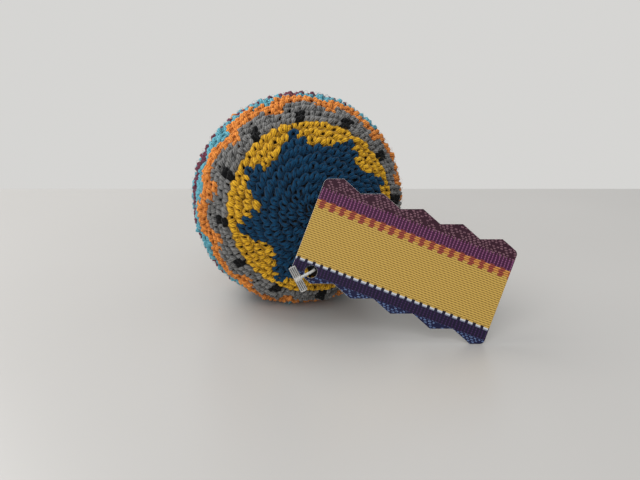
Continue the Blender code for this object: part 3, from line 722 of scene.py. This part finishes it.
def peeping_loops(name, finish):
    """Gold yarn that shows beside the star's tips: ovals that stand half out of the cover."""
    chance = np.random.default_rng(SPECK_SEED)
    tips = np.array(STAR_TIPS + STAR_TIPS, float)[:, None]
    ends = np.repeat((0.0, 1.0), len(STAR_TIPS))[:, None]
    flank = SPECK_OFFSET * chance.choice((-1.0, 1.0), tips.shape)
    turn = CAP_START + math.tau * (tips + 0.5 + flank) / CHART_COLUMNS
    place = SPECK_ROUND + chance.normal(0.0, SPECK_SCATTER, tips.shape)
    place = np.where(ends > 0.5, ROUNDS - place, place)
    sweep = math.tau * np.arange(ARCH_POINTS)[None, :] / ARCH_POINTS
    flat = 0.0 * turn * sweep
    path, lift = on_cover(place + flat, turn + flat, SPECK_SPAN * np.cos(sweep) + flat,
                          SPECK_RISE * (np.sin(sweep) - SPECK_SEAT) + flat)
    chord = path[:, ARCH_POINTS // 2] - path[:, 0]
    plane = np.cross(chord, lift[:, 0])[:, None]
    size = np.full((len(tips), ARCH_POINTS), SPECK_WIDTH)
    rings = tube_rings(path, plane, size, size, ARCH_SIDES)
    faces, marks = tube_faces(len(tips), ARCH_POINTS, ARCH_SIDES)
    piece = make_mesh(name, rings.reshape(-1, 3), faces, finish)
    each = np.ones(rings.size // 3)
    # The loops take a light, even painted shade and the full tone of their dye.
    map_yarn(piece, strand_map(marks, SPECK_SPAN, ARCH_SIDES), 0.1 * each, each)
    return piece


carried_gold = peeping_loops("carried_gold_yarn", yarn_finishes["gold"])
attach(carried_gold, "bag")

# Pellets
# The bag is filled with loose plastic pellets, short rods cut from a strand. They lie packed up
# to the inside of the cover, with room among them for the tag pin's cross bar.
PELLET_SIZE = 2.9 * MM
PELLET_PITCH = 3.15 * MM
FILL_DEPTH = 4.3 * MM
BAR_LENGTH = 6.5 * MM
BAR_CLEARANCE = 0.8
LATTICE_REACH = 12
PELLET_SEED = 5
PELLET_SIDES = 6
PELLET_RINGS = ((-0.42, 0.30), (-0.30, 0.44), (0.30, 0.44), (0.42, 0.30))


def pellet_places():
    """A close-packed lattice inside the superellipse drawn in by the fill depth, clear of the pin's
    cross bar.
    """
    reach = np.arange(-LATTICE_REACH, LATTICE_REACH + 1)
    first, second, third = np.meshgrid(reach, reach, reach, indexing="ij")
    lattice = np.stack((second + third, first + third, first + second), -1).reshape(-1, 3)
    lattice = lattice * PELLET_PITCH / math.sqrt(2.0)
    across = np.hypot(lattice[:, 0], lattice[:, 2]) / (BAG_RADIUS - FILL_DEPTH)
    along = np.abs(lattice[:, 1]) / (BAG_HALF_DEPTH - FILL_DEPTH)
    kept = lattice[across ** BAG_SQUARENESS + along ** BAG_SQUARENESS < 1.0]
    points = tilted(kept) + BAG_CENTRE
    points = points[points[:, 2] > FILL_DEPTH]
    beside = points - BAR_PLACE
    along_bar = np.clip(beside @ BAR_WAY, -0.5 * BAR_LENGTH, 0.5 * BAR_LENGTH)
    gap = np.linalg.norm(beside - along_bar[:, None] * BAR_WAY, axis=1)
    return points[gap > BAR_CLEARANCE * PELLET_SIZE]


def pellet_mesh(name, places, finish):
    """Six-sided rods turned at random, each ring of corners a circle about its own axis."""
    chance = np.random.default_rng(PELLET_SEED)
    axis = chance.normal(size=(len(places), 3))
    axis /= np.linalg.norm(axis, axis=1, keepdims=True)
    side = np.cross(axis, chance.normal(size=(len(places), 3)))
    side /= np.linalg.norm(side, axis=1, keepdims=True)
    other = np.cross(axis, side)
    angle = math.tau * np.arange(PELLET_SIDES) / PELLET_SIDES
    circle = side[:, None] * np.cos(angle)[:, None] + other[:, None] * np.sin(angle)[:, None]
    ends = []
    for height, radius in PELLET_RINGS:
        ends.append(places[:, None] + PELLET_SIZE * (axis[:, None] * height + circle * radius))
    points = np.stack(ends, 1).reshape(-1, 3)
    base = PELLET_SIDES * len(PELLET_RINGS) * np.arange(len(places))[:, None, None]
    walls = grid_faces(len(PELLET_RINGS), PELLET_SIDES)[None] + base
    caps = np.array(((3, 2, 1, 0), (5, 4, 3, 0), (18, 19, 20, 21), (18, 21, 22, 23)))[None] + base
    faces = np.concatenate((walls, caps), 1).reshape(-1, 4)
    return make_mesh(name, points, faces, finish)


pellet_finish, paint = new_finish("pellets")
place = paint.node("TexCoord", output="Object")
batch = paint.node("TexNoise", None, {"Vector": place, "Scale": 300.0})
set_shader(pellet_finish, {
    "Base Color": batch.tint((0.42, 0.38, 0.30, 1.0), (0.72, 0.68, 0.58, 1.0)),
    "Roughness": 0.45,
})
pellets = pellet_mesh("pellets", pellet_places(), pellet_finish)
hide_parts("pellet_fill")
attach(pellets, "bag")

# Closing knot
# The end of the navy yarn of the back star, the same plied cotton. It is drawn through the last
# stitches at the back pole and knotted flat over it.
KNOT_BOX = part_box("closing_knot")
KNOT_YARN = 1.25 * MM
KNOT_RISE = 0.62 * MM
KNOT_SEAT = 0.7 * MM
KNOT_POINTS = 96
KNOT_SIDES = 10
KNOT_SPAN = 5.2


def knot_path():
    """A trefoil: (sin t + 2 sin 2t, cos t - 2 cos 2t, -sin 3t), flat against the back pole."""
    sweep = math.tau * np.arange(KNOT_POINTS) / KNOT_POINTS
    out = tilted(np.array((0.0, 1.0, 0.0)))
    middle = 0.5 * (np.array(KNOT_BOX[0]) + np.array(KNOT_BOX[1])) - KNOT_SEAT * out
    side = np.array((1.0, 0.0, 0.0))
    up = np.cross(out, side)
    across = (KNOT_BOX[1].x - KNOT_BOX[0].x - KNOT_YARN) / KNOT_SPAN
    right = across * (np.sin(sweep) + 2.0 * np.sin(2.0 * sweep))
    high = across * (np.cos(sweep) - 2.0 * np.cos(2.0 * sweep))
    depth = -KNOT_RISE * np.sin(3.0 * sweep)
    return middle + right[:, None] * side + high[:, None] * up + depth[:, None] * out


path = knot_path()[None]
lift = np.broadcast_to(tilted(np.array((0.0, 1.0, 0.0))), path.shape)
size = np.full((1, KNOT_POINTS), KNOT_YARN)
rings = tube_rings(path, lift, size, size, KNOT_SIDES)
faces, marks = tube_faces(1, KNOT_POINTS, KNOT_SIDES)
closing_knot = make_mesh("closing_knot_yarn", rings.reshape(-1, 3), faces, yarn_finishes["navy"])
each = np.ones(rings.size // 3)
# The knot takes an even painted shade and a middle tone of its dye.
map_yarn(closing_knot, strand_map(marks, mean_step(path), KNOT_SIDES), 0.2 * each, 0.5 * each)
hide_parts("closing_knot")
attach(closing_knot, "bag")

# Hang tag
# A stiff card, toothed along both long edges and punched for the pin. Its face is printed with
# the picture of a woven band: purples, a checked row, a plain gold field, dashes and navy.
TAG_SLANT = math.atan2(1.9, 5.0)
TAG_PLACE = np.array(spin["pos_m"])
TAG_ALONG = BAR_WAY * math.cos(TAG_SLANT) - TAG_UP * math.sin(TAG_SLANT)
TAG_OVER = BAR_WAY * math.sin(TAG_SLANT) + TAG_UP * math.cos(TAG_SLANT)
TOOTH_HEIGHT = 1.9 * MM
CARD_EDGE_BEVEL = 0.11 * MM
CARD_FLAT_ANGLE = math.radians(1.0)
CARD_RIM_ANGLE = math.radians(60.0)
CARD_FRONT_LEAN = 0.6
PRINT_GROOVE = 0.06 * MM
BOARD_GROOVE = 0.04 * MM
ROW_HEIGHT = 0.50
WEFT_LENGTH = 0.95
TICK_LENGTH, TICK_SHARE = 0.81, 0.34
TICK_HEIGHT, TICK_RISE = 0.56, 0.72
FLECK_LENGTH, FLECK_SHARE = 1.05, 0.55
BLOCK_LENGTH = 2.50
DASH_LENGTH, DASH_SHARE = 1.92, 0.62
STRIPE_EDGES = {
    "indigo": 0.15, "sky": 2.42, "white": 2.70, "cord": 3.06, "gold": 3.30, "check": 15.5,
    "violet": 17.7, "plum": 19.9,
}

tag_points = np.array([point.co for point in frame["nodes"]["hang_tag"].data.vertices]) - TAG_PLACE
card_foot = (tag_points @ TAG_OVER).min() + TOOTH_HEIGHT


def tag_card():
    """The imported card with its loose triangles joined, its rim eased and a flat map in mm."""
    card = frame["nodes"]["hang_tag"].copy()
    card.data = card.data.copy()
    card.parent = None
    for key in list(card.keys()):
        del card[key]
    card.name = card.data.name = "printed_card"
    card.data.materials.clear()
    bpy.context.scene.collection.objects.link(card)
    shape = bmesh.new()
    shape.from_mesh(card.data)
    bmesh.ops.remove_doubles(shape, verts=shape.verts, dist=MERGE_GAP)
    bmesh.ops.dissolve_limit(
        shape, angle_limit=CARD_FLAT_ANGLE, verts=shape.verts, edges=shape.edges)
    rim = [edge for edge in shape.edges if edge.calc_face_angle(0.0) > CARD_RIM_ANGLE]
    bmesh.ops.bevel(shape, geom=rim, offset=CARD_EDGE_BEVEL, segments=2, profile=0.5,
                    affect="EDGES")
    layer = shape.loops.layers.uv.new("card")
    for face in shape.faces:
        front = face.normal.dot(TAG_OUT) > CARD_FRONT_LEAN
        face.material_index = 0 if front else 1
        face.smooth = False
        for corner in face.loops:
            beside = np.array(corner.vert.co) - TAG_PLACE
            corner[layer].uv = (beside @ TAG_ALONG / MM, (beside @ TAG_OVER - card_foot) / MM)
    shape.to_mesh(card.data)
    shape.free()
    return card


def card_print():
    """Stripes by height on the card in mm, each with its own thread pattern along it."""
    finish, paint = new_finish("woven_print")
    plan = paint.node("UVMap", {"uv_map": "card"})
    drift = paint.node("TexNoise", None, {"Vector": plan, "Scale": 0.35, "Detail": 2.0})
    along = plan.part("X") + (drift - 0.5) * 0.5
    up = plan.part("Y") + (drift - 0.5) * 0.25
    grain = paint.node("TexNoise", None, {"Vector": plan, "Scale": 7.0, "Detail": 3.0})

    rows = up / ROW_HEIGHT
    row = rows.whole()
    warp = rows.math("PINGPONG", rows, 0.5) * 2.0
    groove = (rows + 0.5).whole()
    weft = (along / WEFT_LENGTH + groove * 0.37 + drift * 0.6).wave()
    thread = 1.0 - (1.0 - warp) * (weft * 0.35 + 0.65)
    tick = (along / TICK_LENGTH).remainder() < TICK_SHARE
    tick = tick * ((up / TICK_HEIGHT).remainder() < TICK_RISE)
    pace = along / FLECK_LENGTH + (row * 0.37 + drift).remainder()
    cell = paint.node("CombineXYZ", None, {0: pace.whole(), 1: row})
    lucky = paint.node("TexWhiteNoise", {"noise_dimensions": "2D"}, {"Vector": cell})
    fleck = (pace.remainder() < FLECK_SHARE) * (warp > 0.3) * (lucky > 0.3) * (grain > 0.46)

    gold = thread.tint((0.150, 0.080, 0.013, 1.0), (0.640, 0.410, 0.092, 1.0))
    plum = fleck.tint((0.034, 0.008, 0.018, 1.0), (0.210, 0.104, 0.132, 1.0))
    violet = tick.tint((0.050, 0.009, 0.036, 1.0), (0.230, 0.072, 0.170, 1.0))
    step = (row * 0.5).remainder() * 0.2
    block = (along / BLOCK_LENGTH + grain * 0.30 + step).remainder() < 0.5
    ember = warp.tint((0.240, 0.062, 0.016, 1.0), (0.660, 0.320, 0.070, 1.0))
    brick = warp.tint((0.085, 0.010, 0.014, 1.0), (0.380, 0.080, 0.042, 1.0))
    check = block.tint(brick, ember)
    dash = (along / DASH_LENGTH + 0.1).remainder() < DASH_SHARE
    white = dash.tint((0.010, 0.008, 0.020, 1.0), (0.560, 0.560, 0.560, 1.0))
    cord = dash.tint((0.020, 0.014, 0.014, 1.0), gold)
    sky = dash.tint((0.010, 0.009, 0.034, 1.0), (0.190, 0.210, 0.290, 1.0))
    indigo = tick.tint((0.008, 0.005, 0.022, 1.0), (0.036, 0.015, 0.066, 1.0))
    night = fleck.tint((0.007, 0.008, 0.038, 1.0), (0.110, 0.165, 0.310, 1.0))

    color = night
    stripes = {"indigo": indigo, "sky": sky, "white": white, "cord": cord, "gold": gold,
               "check": check, "violet": violet, "plum": plum}
    steps = {"check": block * 0.5, "violet": block * -0.3, "plum": tick * 0.5}
    for name, edge in STRIPE_EDGES.items():
        color = (up > steps.get(name, 0.0) + edge).tint(color, stripes[name])
    shade = thread * 0.25 + grain * 0.30 + 0.60
    color = paint.node("Mix", {"data_type": "RGBA", "blend_type": "MULTIPLY"},
                       {0: 1.0, 6: color, 7: shade}, 2)
    relief = thread * 0.6 + grain * 0.3
    bump = paint.node("Bump", None, {"Strength": 0.3, "Distance": PRINT_GROOVE, "Height": relief})
    set_shader(finish, {
        "Base Color": color,
        "Roughness": grain * 0.15 + 0.50,
        "Specular IOR Level": 0.14,
        "Normal": bump,
    })
    return finish


board_finish, paint = new_finish("card_board")
place = paint.node("TexCoord", output="Object")
pulp = paint.node("TexNoise", None, {"Vector": place, "Scale": 900.0, "Detail": 5.0})
bump = paint.node("Bump", None, {"Strength": 0.3, "Distance": BOARD_GROOVE, "Height": pulp})
set_shader(board_finish, {
    "Base Color": pulp.tint((0.58, 0.56, 0.52, 1.0), (0.74, 0.73, 0.70, 1.0)),
    "Roughness": 0.7,
    "Specular IOR Level": 0.3,
    "Normal": bump,
})
printed_card = tag_card()
printed_card.data.materials.append(card_print())
printed_card.data.materials.append(board_finish)
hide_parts("hang_tag")
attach(printed_card, "tag")

# Tag pin
# One clear moulding: a ribbed paddle in front of the card, a thin filament that bends into the
# punched hole and runs on between the stitches, and a cross bar behind the cover.
PIN_SWEEP = math.radians(229.0)
FILAMENT_RADIUS = 0.4 * MM
FILAMENT_SIDES = 14
FILAMENT_TOP = 2.15 * MM
FILAMENT_BEND = 1.3 * MM
FILAMENT_SLIMNESS = 0.8
NECK_SPREAD = 0.45
NECK_POWER = 16
BACK_POINTS = 24
BEND_POINTS = 13
LEVEL_POINTS = 9
BAR_RADIUS = 0.5 * MM
PADDLE_REACH = 3.3 * MM
PADDLE_LENGTH = 6.4 * MM
PADDLE_WIDTH = 1.8 * MM
PADDLE_THICKNESS = 0.9 * MM
PADDLE_RIBS = 4
PADDLE_GROOVE = 0.26 * MM
PADDLE_SAMPLES = 57
PADDLE_SQUARENESS = 6
PADDLE_STATIONS = (
    -1.0, -1.0, -0.98, -0.93, -0.88, -0.22, -0.12, 0.12, 0.22, 0.88, 0.93, 0.98, 1.0, 1.0,
)
PADDLE_SCALES = (0.0, 0.72, 0.88, 0.98, 1.0, 1.0, 1.0, 1.0, 1.0, 1.0, 0.98, 0.88, 0.72, 0.0)
PADDLE_GROOVED = (0.0, 0.0, 0.0, 0.2, 1.0, 1.0, 0.0, 0.0, 1.0, 1.0, 0.2, 0.0, 0.0, 0.0)
RIBBED_SHARES = (0.15, 0.93)
SHARP_ANGLE = math.radians(40.0)
FLOW_GROOVE = 0.03 * MM
PIN_TOWARD = TAG_ALONG * math.cos(PIN_SWEEP) + TAG_OVER * math.sin(PIN_SWEEP)
PIN_ACROSS = np.cross(TAG_OUT, PIN_TOWARD)


def strand_mesh(name, path, radii, edge, sides, finish):
    """A tube along an open path in one plane: rings about the plane's edge vector, ends closed."""
    ahead = np.gradient(path, axis=0)
    ahead /= np.linalg.norm(ahead, axis=1, keepdims=True)
    other = np.cross(ahead, edge)
    angle = math.tau * np.arange(sides) / sides
    circle = edge * np.cos(angle)[None, :, None] + other[:, None] * np.sin(angle)[None, :, None]
    points = path[:, None] + circle * radii[:, None, None]
    ends = np.concatenate((np.repeat(path[:1], sides, 0), points.reshape(-1, 3),
                           np.repeat(path[-1:], sides, 0)))
    return close_ends(make_mesh(name, ends, grid_faces(len(path) + 2, sides), finish))


def close_ends(piece):
    """Merge the points that lie together and turn every face outwards."""
    shape = bmesh.new()
    shape.from_mesh(piece.data)
    bmesh.ops.remove_doubles(shape, verts=shape.verts, dist=MERGE_GAP)
    bmesh.ops.dissolve_degenerate(shape, edges=shape.edges, dist=0.0005 * MM)
    bmesh.ops.recalc_face_normals(shape, faces=shape.faces)
    shape.to_mesh(piece.data)
    shape.free()
    return piece


def filament_path():
    """Straight out from the cross bar, a quarter circle over the hole, straight to the paddle."""
    start = np.linspace(BAR_PLACE, TAG_PLACE + TAG_OUT * (FILAMENT_TOP - FILAMENT_BEND), BACK_POINTS)
    sweep = np.linspace(0.0, 0.5 * math.pi, BEND_POINTS)[1:, None]
    side = FILAMENT_BEND * (1.0 - np.cos(sweep))
    rise = FILAMENT_TOP - FILAMENT_BEND * (1.0 - np.sin(sweep))
    bend = TAG_PLACE + PIN_TOWARD * side + TAG_OUT * rise
    run = np.linspace(FILAMENT_BEND, PADDLE_REACH + 0.5 * PADDLE_WIDTH, LEVEL_POINTS)[1:, None]
    level = TAG_PLACE + PIN_TOWARD * run + TAG_OUT * FILAMENT_TOP
    return np.concatenate((start, bend, level))


PADDLE_MIDDLE = TAG_PLACE + PIN_TOWARD * (PADDLE_REACH + 0.5 * PADDLE_WIDTH) + TAG_OUT * FILAMENT_TOP


def groove_depth(place):
    """Zero on a rib and one between two: (1 + cos) / 2 over the paddle's width."""
    return 0.5 + 0.5 * np.cos(math.tau * PADDLE_RIBS * 0.5 * (place + 1.0))


def paddle_mesh(finish):
    """The paddle: a bar of superellipse section whose faces carry cosine ribs, with a plain middle.

    Each station along it has its scale and its share of groove. The ends are drawn in, and the
    grooves fade out over the middle, where the filament joins.
    """
    place = np.linspace(-1.0, 1.0, PADDLE_SAMPLES)
    edge = np.sqrt((1.0 - place ** PADDLE_SQUARENESS).clip(0.0))
    groove = PADDLE_GROOVE * groove_depth(place)
    wide = np.concatenate((place, place[-2:0:-1])) * 0.5 * PADDLE_WIDTH
    lengths = np.array(PADDLE_STATIONS) * 0.5 * PADDLE_LENGTH
    scales = np.array(PADDLE_SCALES)
    grooves = np.array(PADDLE_GROOVED)
    crown = edge * (0.5 * PADDLE_THICKNESS - grooves[:, None] * groove)
    high = np.concatenate((crown, -crown[:, -2:0:-1]), 1)
    section = PIN_TOWARD * wide[None, :, None] + TAG_OUT * high[:, :, None]
    points = PADDLE_MIDDLE + section * scales[:, None, None] + PIN_ACROSS * lengths[:, None, None]
    faces = grid_faces(len(lengths), len(wide))
    return close_ends(make_mesh("pin_moulding", points.reshape(-1, 3), faces, finish))


def unite(piece, other):
    """Fuse another closed mesh into the piece and drop it."""
    step = piece.modifiers.new("fuse", "BOOLEAN")
    step.operation = "UNION"
    step.object = other
    depsgraph = bpy.context.evaluated_depsgraph_get()
    fused = bpy.data.meshes.new_from_object(piece.evaluated_get(depsgraph))
    piece.modifiers.clear()
    piece.data = fused
    bpy.data.objects.remove(other)


clear_finish, paint = new_finish("clear_plastic")
place = paint.node("TexCoord", output="Object")
flow = paint.node("TexNoise", None, {"Vector": place, "Scale": 500.0, "Detail": 2.0})
bump = paint.node("Bump", None, {"Strength": 0.1, "Distance": FLOW_GROOVE, "Height": flow})
# Painted shade: the clear plastic is coloured dark grey in the grooves between the paddle's ribs.
groove = paint.node("Attribute", {"attribute_name": "groove"}, output="Fac")
clear = flow.tint((0.60, 0.60, 0.58, 1.0), (0.72, 0.72, 0.70, 1.0))
set_shader(clear_finish, {
    "Base Color": groove.tint(clear, (0.16, 0.15, 0.14, 1.0)),
    "Roughness": 0.2,
    "IOR": 1.46,
    "Transmission Weight": 0.5,
    "Normal": bump,
})
pin_moulding = paddle_mesh(clear_finish)
route = filament_path()
neck = np.linspace(0.0, 1.0, len(route)) ** NECK_POWER
radii = FILAMENT_RADIUS * (FILAMENT_SLIMNESS + NECK_SPREAD * neck)
strand = strand_mesh("filament_form", route, radii, PIN_ACROSS, FILAMENT_SIDES, clear_finish)
unite(pin_moulding, strand)
half_bar = 0.5 * BAR_LENGTH * BAR_WAY
bar_line = np.linspace(BAR_PLACE - half_bar, BAR_PLACE + half_bar, 3)
bar = strand_mesh("bar_form", bar_line, np.full(3, BAR_RADIUS), TAG_OUT, FILAMENT_SIDES, clear_finish)
unite(pin_moulding, bar)
# Mark the paddle's rib grooves, where the clear finish paints shade.
away = np.array([point.co for point in pin_moulding.data.vertices]) - PADDLE_MIDDLE
beside = away @ PIN_TOWARD / (0.5 * PADDLE_WIDTH)
endwise = np.abs(away @ PIN_ACROSS) / (0.5 * PADDLE_LENGTH)
ribbed = (np.abs(beside) < 1.0) & (endwise > RIBBED_SHARES[0]) & (endwise < RIBBED_SHARES[1])
add_values(pin_moulding, "groove", ribbed * groove_depth(beside))
pin_moulding.data.shade_smooth()
pin_moulding.data.set_sharp_from_angle(angle=SHARP_ANGLE)
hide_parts("tag_pin")
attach(pin_moulding, "pin")
